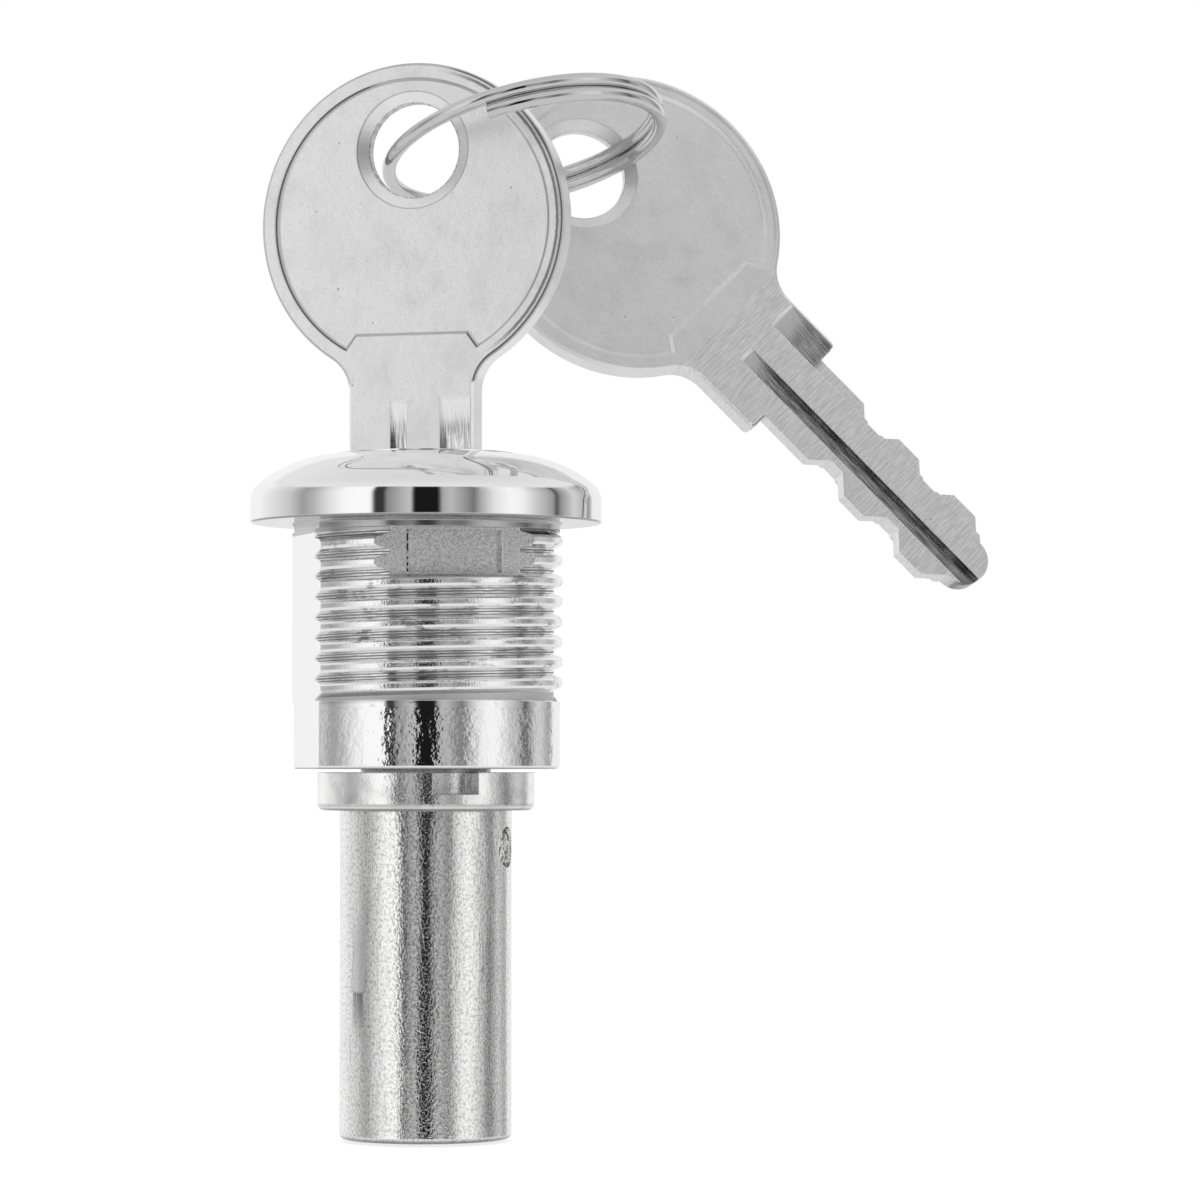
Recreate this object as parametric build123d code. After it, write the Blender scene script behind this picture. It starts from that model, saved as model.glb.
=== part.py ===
from build123d import *
import math
import os

# Vending machine lock with a threaded barrel, a turning drive tube, two keys and a split ring.
# Millimetres. +Z runs along the lock's axis towards the key. The origin is on that axis,
# at the underside of the flange, where the lock meets the panel that it is fitted in.

os.makedirs("parts", exist_ok=True)

# Running clearances
turn_gap = 0.05
slide_gap = 0.05
cut_gap = 0.12
window_gap = 0.15
end_gap = 0.25

# How far the cutting shapes run past the faces that they open
cut_past = 1.0

# Head of the housing
flange_r = 13.0
rim_height = 1.65
rim_edge_r = 1.6
rim_edge_sweep = 50
dome_shoulder_r = 7.5
dome_shoulder_z = 5.0
face_z = 5.15
rim_foot_chamfer = 0.12

# Barrel of the housing
thread_r = 10.1
thread_pitch = 1.5
thread_depth = 0.65
thread_crest = 0.36
thread_shoulder = 0.72
thread_shoulder_drop = 0.14
thread_foot_share = 0.867
thread_foot_sink = 0.05
thread_top_z = -1.1
thread_end_z = -13.2
plain_step = 0.2
barrel_end_z = -18.15
barrel_end_chamfer = 0.2
neck_height = 0.65
neck_root_height = 0.2
neck_root_flare = 0.05
flat_depth = 1.0
land_angles = (142, 168)
land_proud = 0.03
recess_facet_depth = 2.0
recess_top_z = -0.65
recess_end_z = -4.1
recess_floor_depth = 2.35
recess_floor_half = 3.5
recess_floor_rim = 0.2

# Stop between the housing and the collar
turn_range = 180
lug_angle = 90
lug_half_angle = 8
lug_inner_r = 6.4
lug_outer_r = 7.35
lug_height = 1.55
lug_root = 1.0
stop_start_play = 0.5
stop_end_play = 5.5
notch_width_angle = 24.8

# Plug
keyway_turn = -34.5
plug_face_r = 6.75
plug_face_depth = 2.1
plug_r = 6.25
plug_end_z = -17.9
tail_r = 4.8
tail_half_flat = 3.9
tail_end_z = -27.5
seat_depth = 0.5
keyway_shift = -0.84

# Collar and tube
collar_r = 8.0
collar_height = 2.8
collar_edge_r = 0.5
collar_rim = 0.5
stop_track_inner_r = 6.1
stop_track_depth = 1.6
tube_r = 6.35
tube_end_z = -45.35
tube_edge_r = 0.4
tube_mouth_chamfer = 0.4
pin_r = 1.5
pin_z = -23.9
pin_sink = 0.35
pin_crown = 0.3

# Key
key_thickness = 2.2
bow_r = 11.85
bow_rise = 17.7
bow_rim = 1.05
bow_recess = 0.3
bow_slope_depth = 0.29
bow_slope_width = 0.3
bow_edge = 0.25
hole_rise = 5.4
hole_r = 3.5
hole_sink_width = 0.9
hole_sink_depth = 0.45
neck_half = 4.9
neck_fillet = 3.0
shoulder_round = 0.5
step_rise = 9.25
step_half = 4.3
step_slant = 0.75
blade_half = 3.45
blade_length = 20.5
tip_half = 1.85
tip_taper = 1.65
crest_end = 16.95
bit_depth = 1.3
bit_half_floor = 0.62
groove_inner = 0.3
groove_outer = 1.6
groove_depth = 0.7
groove_rise = 4.5
rabbet_inner = 2.3
rabbet_neck_outer = 4.65
rabbet_depth = 0.75
rabbet_rise = 4.75
cutter_r = 20

# Wafers and their springs
wafer_count = 5
wafer_first = 3.6
wafer_pitch = 3.03
wafer_thickness = 0.9
wafer_half_width = 2.9
wafer_travel = 0.9
cut_wafers = (2, 4)
hook_length = 1.2
hook_start = 0.8
hook_reach = 1.6
pocket_start = -2.3
pocket_half_height = 0.85
spring_wire = 0.25
spring_mean_r = 0.6
spring_turns = 4

# Split ring
ring_mean_r = 10.35
ring_wire = 1.05
ring_coil_gap = 0.06
ring_first_angle = 104
ring_turns = 1.57

# Where the ring and the spare key lie at rest, in the plane that the lock is seen in:
# across to the right, back away from the viewer, and up.
view_turn = -15
ring_centre = (7.29, 3.38, 28.71)
ring_rise_angle = 12.8
ring_tip_angle = 75.9
spare_hole = (11.75, 11.5, 27.35)
spare_blade_angle = -45
spare_lean = 17
spare_tilt = 1


def rod(radius, top, end):
    """A plain rod about Z between two heights."""
    return Pos(0, 0, end) * Cylinder(radius, top - end, align=(Align.CENTER, Align.CENTER, Align.MIN))


def block(x, y, z):
    """A box from three (low, high) pairs."""
    corner = Pos(x[0], y[0], z[0])
    return corner * Box(x[1] - x[0], y[1] - y[0], z[1] - z[0], align=(Align.MIN, Align.MIN, Align.MIN))


def arc_ring(inner, outer, start, end, top, bottom):
    """Part of a ring about Z, from one angle anticlockwise to the other."""
    def at(radius, angle):
        turn = math.radians(angle)
        return (radius * math.cos(turn), radius * math.sin(turn))

    middle = (start + end) / 2
    edges = [
        ThreePointArc(at(outer, start), at(outer, middle), at(outer, end)),
        Line(at(outer, end), at(inner, end)),
        ThreePointArc(at(inner, end), at(inner, middle), at(inner, start)),
        Line(at(inner, start), at(outer, start)),
    ]
    return Pos(0, 0, bottom) * extrude(make_face(edges), top - bottom)


def helix_point(radius, pitch, angle):
    """A point of a helix about Z that climbs by the pitch in each turn, and its direction there."""
    turn = math.radians(angle)
    point = Vector(radius * math.cos(turn), radius * math.sin(turn), pitch * angle / 360)
    ahead = Vector(-radius * math.sin(turn), radius * math.cos(turn), pitch / (2 * math.pi))
    return point, ahead.normalized()


def joined_arcs(start, ahead, end, onward):
    """Two tangent arcs that join two points of a curve."""
    span = end - start
    both = ahead + onward
    a = 2 * (ahead.dot(onward) - 1)
    b = -2 * span.dot(both)
    c = span.dot(span)
    reach = (-b - math.sqrt(b * b - 4 * a * c)) / (2 * a)
    middle = (start + ahead * reach + end - onward * reach) * 0.5
    first = Edge.make_tangent_arc(start, ahead, middle)
    second = Edge.make_tangent_arc(middle, first.tangent_at(1), end)
    return [first, second]


def coil(radius, wire, pitch, start_angle, turns):
    """Round wire wound about Z, in quarter turns of two tangent arcs each."""
    steps = max(1, round(turns * 4))
    step = turns * 360 / steps
    edges = []
    for i in range(steps):
        start, ahead = helix_point(radius, pitch, start_angle + i * step)
        end, onward = helix_point(radius, pitch, start_angle + (i + 1) * step)
        edges += joined_arcs(start, ahead, end, onward)
    path = Wire(edges)
    section = Plane(origin=path @ 0, z_dir=path % 0) * Circle(wire / 2)
    return sweep(section, path=path)


def head():
    """The polished flange and its domed front."""
    sweep_angle = math.radians(rim_edge_sweep)
    edge_centre_r = flange_r - rim_edge_r
    edge_end = (
        edge_centre_r + rim_edge_r * math.cos(sweep_angle),
        rim_height + rim_edge_r * math.sin(sweep_angle),
    )
    half = sweep_angle / 2
    edge_middle = (
        edge_centre_r + rim_edge_r * math.cos(half),
        rim_height + rim_edge_r * math.sin(half),
    )
    shoulder = (dome_shoulder_r, dome_shoulder_z)
    shoulder_arc = TangentArc(edge_end, shoulder, tangent=(-math.sin(sweep_angle), math.cos(sweep_angle)))
    edges = [
        Line((0, 0), (flange_r - rim_foot_chamfer, 0)),
        Line((flange_r - rim_foot_chamfer, 0), (flange_r, rim_foot_chamfer)),
        Line((flange_r, rim_foot_chamfer), (flange_r, rim_height)),
        ThreePointArc((flange_r, rim_height), edge_middle, edge_end),
        shoulder_arc,
        Line(shoulder, (0, face_z)),
        Line((0, face_z), (0, 0)),
    ]
    return revolve(Plane.XZ * make_face(edges), Axis.Z)


def barrel():
    """The threaded barrel with its plain neck and end, one flat and the recess under the flange."""
    root_r = thread_r - thread_depth
    plain_r = thread_r - plain_step
    ridge_foot = root_r - thread_foot_sink
    rise = thread_top_z - thread_end_z
    half_foot = thread_pitch * thread_foot_share / 2
    half_ridge = [
        (ridge_foot, half_foot),
        (thread_r - thread_shoulder_drop, thread_shoulder / 2),
        (thread_r, thread_crest / 2),
    ]
    ridge = [(r, thread_end_z - z) for r, z in half_ridge]
    ridge += [(r, thread_end_z + z) for r, z in reversed(half_ridge)]
    section = Plane.XZ * make_face(Polyline(*ridge, close=True))
    helix = Pos(0, 0, thread_end_z) * Helix(thread_pitch, rise, ridge_foot)
    body = rod(root_r, 0, barrel_end_z) + sweep(section, path=helix, is_frenet=True)
    plain = rod(plain_r, thread_end_z, barrel_end_z)
    plain = chamfer(plain.edges().filter_by(GeomType.CIRCLE).sort_by(Axis.Z)[0], barrel_end_chamfer)
    body += plain
    body += rod(plain_r, 0, -neck_height)
    neck_root_r = thread_r + neck_root_flare
    body += Pos(0, 0, -neck_root_height) * Cone(
        plain_r, neck_root_r, neck_root_height, align=(Align.CENTER, Align.CENTER, Align.MIN)
    )
    body += arc_ring(ridge_foot, thread_r + land_proud, *land_angles, -neck_height, thread_end_z)
    body &= block((flat_depth - thread_r, flange_r), (-flange_r, flange_r), (barrel_end_z, 0))
    facet_y = recess_facet_depth - thread_r
    body -= block((-flange_r, flange_r), (-flange_r, facet_y), (recess_end_z, recess_top_z))
    floor_span = (recess_end_z + recess_floor_rim, recess_top_z - recess_floor_rim)
    floor_y = recess_floor_depth - thread_r
    body -= block((-recess_floor_half, recess_floor_half), (-flange_r, floor_y), floor_span)
    return body


def housing():
    """The die-cast housing, bored for the plug, with wafer grooves and the stop lug."""
    body = head() + barrel()
    body -= rod(plug_r + turn_gap, face_z + cut_past, barrel_end_z - cut_past)
    body -= rod(plug_face_r + turn_gap, face_z + cut_past, face_z - plug_face_depth - turn_gap)
    groove_half = wafer_half_width + window_gap
    groove_r = plug_r + wafer_travel + window_gap
    groove_span = (barrel_end_z - cut_past, wafer_z(0) + wafer_thickness)
    groove = block((-groove_r, groove_r), (-groove_half, groove_half), groove_span)
    body -= Rot(0, 0, keyway_turn) * groove
    lug = arc_ring(
        lug_inner_r, lug_outer_r, lug_angle - lug_half_angle, lug_angle + lug_half_angle,
        barrel_end_z + lug_root, barrel_end_z - lug_height,
    )
    return body + lug


def wafer_z(index):
    """Height of a wafer's middle, counted from the key's shoulder down."""
    return face_z - seat_depth - wafer_first - index * wafer_pitch


def wafer_side(index):
    """Wafers spring out on alternate sides of the plug."""
    return 180 * (index % 2)


def keyway_section(gap):
    """The blade's section, with its narrow grooves and edge rabbets, grown by a gap."""
    half_t = key_thickness / 2
    plate = Rectangle(2 * (blade_half + gap), 2 * (half_t + gap))
    groove_mid = -(groove_inner + groove_outer) / 2
    groove_width = groove_outer - groove_inner - 2 * gap
    groove = Pos(groove_mid, -half_t - gap) * Rectangle(groove_width, 2 * groove_depth)
    rabbet_width = 2 * (blade_half - rabbet_inner)
    rabbet = Pos(blade_half + gap, -half_t - gap) * Rectangle(rabbet_width, 2 * rabbet_depth)
    for turn in (0, 180):
        plate -= Rot(0, 0, turn) * groove
        plate -= Rot(0, 0, turn) * rabbet
    return plate


def plug():
    """The plug that the key turns, with its keyway and seat, wafer slots, spring pockets and tail."""
    face_foot_z = face_z - plug_face_depth
    body = rod(plug_face_r, face_z, face_foot_z) + rod(plug_r, face_foot_z, plug_end_z)
    body += tail(0)
    seat_z = face_z - seat_depth
    keyway_end_z = seat_z - blade_length - end_gap
    keyway = Pos(0, 0, keyway_end_z) * extrude(keyway_section(cut_gap), seat_z - keyway_end_z + cut_past)
    seat_half = neck_half + cut_gap
    seat_half_t = key_thickness / 2 + cut_gap
    keyway += block((-seat_half, seat_half), (-seat_half_t, seat_half_t), (seat_z, face_z + cut_past))
    body -= Pos(keyway_shift, 0, 0) * keyway
    slot_half = wafer_half_width + slide_gap
    half_height = wafer_thickness / 2 + slide_gap
    outside = plug_r + cut_past
    hook_end = hook_start + hook_length + wafer_travel + window_gap
    for i in range(wafer_count):
        z = wafer_z(i)
        slot = block((-outside, outside), (-slot_half, slot_half), (z - half_height, z + half_height))
        pocket = block(
            (pocket_start, hook_end), (slot_half, outside),
            (z - pocket_half_height, z + pocket_half_height),
        )
        body -= slot
        body -= Rot(0, 0, wafer_side(i)) * pocket
    body -= Pos(0, 0, pin_z) * Rot(0, 90, 0) * Cylinder(pin_r, 2 * (tail_r + cut_past))
    return Rot(0, 0, keyway_turn) * body


def tail(gap):
    """The flatted tail that carries the collar and the tube, grown by a gap."""
    radius = tail_r + gap
    half = tail_half_flat + gap
    flats = block((-radius, radius), (-half, half), (tail_end_z, plug_end_z))
    return rod(radius, plug_end_z, tail_end_z) & flats


def wafer(index):
    """One wafer: a thin plate with round ends, a window for the key and a hook for its spring."""
    end_r = plug_r - slide_gap
    half_t = wafer_thickness / 2
    plate = Circle(end_r) & Rectangle(2 * end_r, 2 * wafer_half_width)
    hook_y = (0, wafer_half_width + hook_reach)
    hook_face = Pos(hook_start + hook_length / 2, (hook_y[0] + hook_y[1]) / 2)
    plate += hook_face * Rectangle(hook_length, hook_y[1] - hook_y[0])
    blade_x = -keyway_shift if wafer_side(index) else keyway_shift
    window_low = blade_x - blade_half - wafer_travel - window_gap
    window_high = blade_x + blade_half + window_gap
    window = Pos((window_low + window_high) / 2, 0)
    plate -= window * Rectangle(window_high - window_low, key_thickness + 2 * window_gap)
    solid = Pos(0, 0, wafer_z(index)) * extrude(plate, half_t, both=True)
    return Rot(0, 0, keyway_turn + wafer_side(index)) * solid


def wafer_spring(index):
    """The small coil spring in the pocket beside a wafer, between the plug and the wafer's hook."""
    length = hook_start - pocket_start - 2 * slide_gap - spring_wire
    pitch = length / spring_turns
    wound = coil(spring_mean_r, spring_wire, pitch, 0, spring_turns)
    y = wafer_half_width + slide_gap + spring_mean_r + spring_wire / 2 + slide_gap
    start_x = pocket_start + slide_gap + spring_wire / 2
    placed = Pos(start_x, y, wafer_z(index)) * Rot(0, 90, 0) * wound
    return Rot(0, 0, keyway_turn + wafer_side(index)) * placed


def stop_collar():
    """The collar keyed to the plug's tail. Its top has the stop track and the open notch."""
    top = barrel_end_z - end_gap
    body = rod(collar_r, top, top - collar_height)
    body = fillet(body.edges().filter_by(GeomType.CIRCLE).sort_by(Axis.Z)[0], collar_edge_r)
    floor = top - stop_track_depth
    track_start = lug_angle - lug_half_angle - stop_start_play
    track_end = lug_angle + turn_range + lug_half_angle + stop_end_play
    notch_start = track_end - notch_width_angle
    over = top + cut_past
    body -= arc_ring(stop_track_inner_r, collar_r - collar_rim, track_start, track_end, over, floor)
    body -= arc_ring(stop_track_inner_r, collar_r + cut_past, notch_start, track_end, over, floor)
    return body - Rot(0, 0, keyway_turn) * tail(slide_gap)


def drive_tube():
    """The plated steel tube that turns with the key and works the machine's latch."""
    top = barrel_end_z - end_gap - collar_height
    body = rod(tube_r, top, tube_end_z)
    body = fillet(body.edges().filter_by(GeomType.CIRCLE).sort_by(Axis.Z)[0], tube_edge_r)
    bore_r = tail_r + slide_gap
    body -= rod(bore_r, top + cut_past, tube_end_z - cut_past)
    mouth = bore_r + tube_mouth_chamfer
    body -= Pos(0, 0, tube_end_z) * Cone(
        mouth, bore_r, tube_mouth_chamfer, align=(Align.CENTER, Align.CENTER, Align.MIN)
    )
    cross = Pos(0, 0, pin_z) * Rot(0, 90, 0) * Cylinder(pin_r, 2 * (tube_r + cut_past))
    return body - Rot(0, 0, keyway_turn) * cross


def cross_pin():
    """The pin through the tube and the plug's tail, with its ends peened to low crowns."""
    half = tube_r - pin_sink
    body = Cylinder(pin_r, 2 * half)
    crown = chamfer(body.edges().filter_by(GeomType.CIRCLE), pin_crown)
    return Rot(0, 0, keyway_turn) * Pos(0, 0, pin_z) * Rot(0, 90, 0) * crown


def blade_outline():
    """Points down the blade's right edge: crests, cuts for the low wafers, and the taper."""
    points = [(blade_half, 0)]
    for number in cut_wafers:
        middle = wafer_first + (number - 1) * wafer_pitch
        low = blade_half - bit_depth
        points += [
            (blade_half, -(middle - bit_half_floor - bit_depth)),
            (low, -(middle - bit_half_floor)),
            (low, -(middle + bit_half_floor)),
            (blade_half, -(middle + bit_half_floor + bit_depth)),
        ]
    points.append((blade_half, -crest_end))
    points.append((tip_half, -(crest_end + tip_taper)))
    return points


def key_outline():
    """The key's outline: bow, neck, shoulders and the blade cut on both edges."""
    right = blade_outline()
    left = [(-x, y) for x, y in reversed(right)]
    root = [left[-1], (-blade_half, bow_edge), (blade_half, bow_edge), right[0]]
    blade = make_face([
        Polyline(*right),
        ThreePointArc(right[-1], (0, -blade_length), left[0]),
        Polyline(*left),
        Polyline(*root),
    ])
    neck = Pos(0, bow_rise / 2) * Rectangle(2 * neck_half, bow_rise)
    bow = Pos(0, bow_rise) * Circle(bow_r)
    grip = bow + neck
    join_y = bow_rise - math.sqrt(bow_r * bow_r - neck_half * neck_half)
    inner = [v for v in grip.vertices() if abs(v.Y - join_y) < 0.01]
    grip = fillet(inner, neck_fillet)
    grip = fillet(grip.vertices().sort_by(Axis.Y)[0:2], shoulder_round)
    return grip, blade


def key_body():
    """One key, in its own frame: blade down, shoulder at zero, seen face towards +Z."""
    grip, blade = key_outline()
    half_t = key_thickness / 2
    grip_solid = extrude(grip, half_t, both=True)
    rims = grip_solid.edges().filter_by_position(Axis.Z, half_t - 0.01, half_t + 0.01)
    rims += grip_solid.edges().filter_by_position(Axis.Z, -half_t - 0.01, -half_t + 0.01)
    body = chamfer(rims, bow_edge) + extrude(blade, half_t, both=True)
    hole_y = bow_rise + hole_rise
    body -= Pos(0, hole_y) * Cylinder(hole_r, 2 * key_thickness)
    for turn in (0, 180):
        body -= Rot(0, turn, 0) * face_cuts()
    return body


def milled_groove(left, right, rise, depth):
    """A cut along the blade that runs out upwards in the arc of the round cutter."""
    half_t = key_thickness / 2
    floor = half_t - depth
    top = half_t + cut_past
    foot = -blade_length - cut_past
    run_out = rise - math.sqrt(2 * cutter_r * depth - depth * depth)
    side = [
        Line((foot, floor), (run_out, floor)),
        TangentArc((run_out, floor), (rise, half_t), tangent=(1, 0)),
        Polyline((rise, half_t), (rise, top), (foot, top), (foot, floor)),
    ]
    return Pos(left, 0, 0) * extrude(Plane.YZ * make_face(side), right - left)


def face_cuts():
    """What is coined and milled out of one face: bow recess, hole sink, groove and rabbet."""
    half_t = key_thickness / 2
    recess = Pos(0, bow_rise) * Circle(bow_r - bow_rim)
    reach = bow_r
    slant = reach * step_slant
    step = [
        (-step_half, step_rise), (step_half, step_rise),
        (step_half + slant, step_rise - reach), (-step_half - slant, step_rise - reach),
    ]
    recess -= make_face(Polyline(*step, close=True))
    pan = extrude(recess, key_thickness)
    pan_floor = pan.faces().sort_by(Axis.Z)[0]
    pan = chamfer(pan_floor.edges(), bow_slope_width, bow_slope_depth, reference=pan_floor)
    cuts = Pos(0, 0, half_t - bow_recess) * pan
    hole_y = bow_rise + hole_rise
    sink_floor = half_t - bow_recess - hole_sink_depth
    cuts += Pos(0, hole_y, sink_floor) * Cone(
        hole_r, hole_r + hole_sink_width, hole_sink_depth, align=(Align.CENTER, Align.CENTER, Align.MIN)
    )
    cuts += milled_groove(-groove_outer, -groove_inner, groove_rise, groove_depth)
    cuts += milled_groove(rabbet_inner, rabbet_neck_outer, rabbet_rise, rabbet_depth)
    return cuts


def key():
    """The key that stands in the lock."""
    upright = Pos(keyway_shift, 0, face_z - seat_depth) * Rot(90, 0, 0) * key_body()
    return Rot(0, 0, keyway_turn) * upright


def seen_place(across, back, up):
    """A point given across, back and up in the plane that the lock is seen in."""
    turn = math.radians(view_turn)
    return Vector(
        across * math.cos(turn) - back * math.sin(turn),
        across * math.sin(turn) + back * math.cos(turn),
        up,
    )


def ring_plane():
    """The ring's plane: X along its long axis as seen, Y towards the viewer's side."""
    rise = math.radians(ring_rise_angle)
    tip = math.radians(ring_tip_angle)
    x_dir = seen_place(math.cos(rise), 0, math.sin(rise))
    level = seen_place(-math.sin(rise), 0, math.cos(rise))
    y_dir = level * math.cos(tip) + seen_place(0, -math.sin(tip), 0)
    return Plane(origin=seen_place(*ring_centre), x_dir=x_dir, z_dir=x_dir.cross(y_dir))


def split_ring():
    """The split ring: spring wire wound past one and a half turns, with blunt ends."""
    pitch = ring_wire + ring_coil_gap
    end_angle = ring_first_angle - 360 * ring_turns
    middle_climb = pitch * (ring_first_angle + end_angle) / 2 / 360
    wound = coil(ring_mean_r, ring_wire, pitch, end_angle, ring_turns)
    return ring_plane() * Pos(0, 0, -middle_climb) * wound


def spare_plane():
    """The spare key's plane at rest, with its origin in the middle of the key's hole."""
    blade = math.radians(spare_blade_angle)
    y_dir = seen_place(-math.cos(blade), 0, -math.sin(blade))
    lean = math.radians(spare_lean)
    level = seen_place(-math.sin(blade), 0, math.cos(blade))
    x_dir = level * math.cos(lean) + seen_place(0, math.sin(lean), 0)
    flat_normal = x_dir.cross(y_dir)
    tilt = math.radians(spare_tilt)
    normal = flat_normal * math.cos(tilt) - y_dir * math.sin(tilt)
    return Plane(origin=seen_place(*spare_hole), x_dir=x_dir, z_dir=normal)


def spare_key():
    """The second key, hanging on the split ring beside the lock."""
    return spare_plane() * Pos(0, -bow_rise - hole_rise, 0) * key_body()


nodes = {
    "housing": housing(),
    "plug": plug(),
    "stop_collar": stop_collar(),
    "drive_tube": drive_tube(),
    "cross_pin": cross_pin(),
    "key": key(),
    "spare_key": spare_key(),
    "split_ring": split_ring(),
}
for i in range(wafer_count):
    nodes[f"wafer_{i + 1}"] = wafer(i)
    nodes[f"wafer_spring_{i + 1}"] = wafer_spring(i)

for name, solid in nodes.items():
    export_step(solid, f"parts/{name}.step")
    size = solid.bounding_box().size
    print(f"{name}: {size.X:.2f} x {size.Y:.2f} x {size.Z:.2f} mm, {solid.volume:.2f} mm3")
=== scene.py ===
# %% [markdown]
# # A vending machine lock with two keys
# This scene dresses the solid parts of a small cylinder lock. A polished round head closes the hole
# in the machine's door, a threaded barrel goes through it, and a plated tube behind the barrel turns
# with the key. A second key hangs beside it on a split ring.
#
# Nearly everything here is bright metal, so the lesson is about metal: what it mirrors, how smooth it
# is, and the small marks that casting, plating and stamping leave on it.

# %% Load the solid parts
import math

import bpy
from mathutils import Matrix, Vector


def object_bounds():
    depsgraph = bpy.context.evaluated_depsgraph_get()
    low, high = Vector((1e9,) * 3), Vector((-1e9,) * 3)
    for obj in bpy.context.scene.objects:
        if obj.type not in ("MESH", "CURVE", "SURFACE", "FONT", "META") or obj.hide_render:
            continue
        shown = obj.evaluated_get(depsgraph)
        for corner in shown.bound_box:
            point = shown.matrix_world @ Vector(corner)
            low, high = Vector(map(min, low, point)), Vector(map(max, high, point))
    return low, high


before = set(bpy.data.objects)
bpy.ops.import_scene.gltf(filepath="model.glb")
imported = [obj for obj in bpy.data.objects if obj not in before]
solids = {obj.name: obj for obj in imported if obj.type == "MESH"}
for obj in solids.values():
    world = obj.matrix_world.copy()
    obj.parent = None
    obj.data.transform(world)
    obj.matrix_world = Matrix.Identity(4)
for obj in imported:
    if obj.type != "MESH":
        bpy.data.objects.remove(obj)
cad_low, cad_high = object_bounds()
print("solid parts:", len(solids), "box in mm:", [round(1000 * s, 1) for s in cad_high - cad_low])

# %% [markdown]
# ## Where the camera stands
# A long lens was used, because the lock's two sides look almost parallel. The camera is turned 15
# degrees round the lock, a little below the middle of the barrel, and looks slightly up and to the
# right, so that the lock stands left of the middle. The numbers are worked out from the picture's
# width in pixels, which is an easy way to match a photograph.

# %% Set up the camera
PICTURE = 1200
FOCAL_PIXELS = 4700
SENSOR_WIDTH = 36
LOCK_LEFT_OF_MIDDLE = 174
HORIZON_BELOW_MIDDLE = 167
CAMERA_TURN = math.radians(15)
CAMERA_DISTANCE = 0.348
CAMERA_HEIGHT = -0.0180
NEAREST = 0.01
FARTHEST = 20

ahead = Vector((math.sin(CAMERA_TURN), math.cos(CAMERA_TURN), 0))
right = Vector((math.cos(CAMERA_TURN), -math.sin(CAMERA_TURN), 0))


def place_camera():
    """A long lens at the photograph's angle."""
    data = bpy.data.cameras.new("long_lens")
    data.sensor_width = SENSOR_WIDTH
    data.lens = SENSOR_WIDTH * FOCAL_PIXELS / PICTURE
    data.clip_start = NEAREST
    data.clip_end = FARTHEST
    camera = bpy.data.objects.new("camera", data)
    bpy.context.collection.objects.link(camera)
    camera.location = -ahead * CAMERA_DISTANCE + Vector((0, 0, CAMERA_HEIGHT))
    aim = ahead * FOCAL_PIXELS + right * LOCK_LEFT_OF_MIDDLE
    aim += Vector((0, 0, 1)) * HORIZON_BELOW_MIDDLE
    camera.rotation_euler = aim.to_track_quat("-Z", "Y").to_euler()
    return camera


camera = place_camera()
bpy.context.scene.camera = camera
print("lens in mm:", round(camera.data.lens, 1))

# %% [markdown]
# ## Helpers for materials
# A material here is a small network of nodes. Short helpers add a node and wire it, so that each
# recipe below reads as a list of what goes into what.


# %% Node helpers
def add(tree, kind, **settings):
    """A new node. Settings name the node's own options."""
    made = tree.nodes.new(kind)
    for name, value in settings.items():
        setattr(made, name, value)
    return made


def put(made, **values):
    """Sets a node's input sockets by name, with _ for a space."""
    for name, value in values.items():
        made.inputs[name.replace("_", " ")].default_value = value
    return made


def feed(tree, source, target, socket):
    """Wires an output into a named or numbered input."""
    output = source if isinstance(source, bpy.types.NodeSocket) else source.outputs[0]
    tree.links.new(output, target.inputs[socket])
    return target


def sums(tree, operation, *values):
    """One step of arithmetic on numbers or sockets."""
    made = add(tree, "ShaderNodeMath", operation=operation)
    for place, value in enumerate(values):
        if isinstance(value, (int, float)):
            made.inputs[place].default_value = value
        else:
            feed(tree, value, made, place)
    return made.outputs[0]


def dot(tree, vector, direction):
    """How far a vector points along a fixed direction."""
    made = add(tree, "ShaderNodeVectorMath", operation="DOT_PRODUCT")
    feed(tree, vector, made, 0)
    made.inputs[1].default_value = direction
    return made.outputs["Value"]


def grey(level):
    """A neutral colour."""
    return (level, level, level, 1)


print("node helpers ready")

# %% [markdown]
# ## The studio that the metal mirrors
# Polished metal has almost no look of its own. What gives it shape is a light surround with a few
# dark gaps: the gap where the camera stands, a narrow card at its left, one far at its right, and the
# soft panels that get darker towards their edges. They are painted on the world by direction, which
# is simpler than building panels. Each strip below is an angle round the lock, counted in degrees
# from the camera to the right, and how light the wall is there.

# %% List the strips of the studio's wall
STUDIO_STRIPS = [
    (-180, 0.92), (-140, 0.92), (-112, 0.70), (-100, 0.58), (-88, 0.34), (-78, 0.47), (-66, 0.76),
    (-54, 0.98), (-39, 1.0), (-36.5, 0.95), (-33.5, 0.04), (-27.5, 0.04), (-25.5, 0.24), (-12, 0.52),
    (-10, 0.54), (-8, 0.01), (8, 0.01), (10.5, 0.40), (16, 0.50), (31, 0.18), (35.5, 0.40),
    (45, 0.78), (57, 0.97), (66, 0.90), (76, 0.62), (91, 0.32), (94.5, 0.08), (99, 0.30), (113, 0.66),
    (127, 0.45), (134, 0.32), (141, 0.88),
]
CEILING_RINGS = [(0.0, 0.72), (0.6, 0.80), (1.0, 0.70)]
TABLE_LEVEL = 0.80
WALL_FOOT = -0.20
WALL_FOOT_BLUR = 0.06
WALL_TOP = 0.42
WALL_TOP_BLUR = 0.10

print("strips listed:", len(STUDIO_STRIPS))

# %% [markdown]
# ## Painting the world
# A table below, the strips as walls and a ceiling above make one picture of the surround, laid over
# each other by how high a direction points. The camera never sees that picture. For its own rays the
# world is plain white, which makes the white background.


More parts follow.
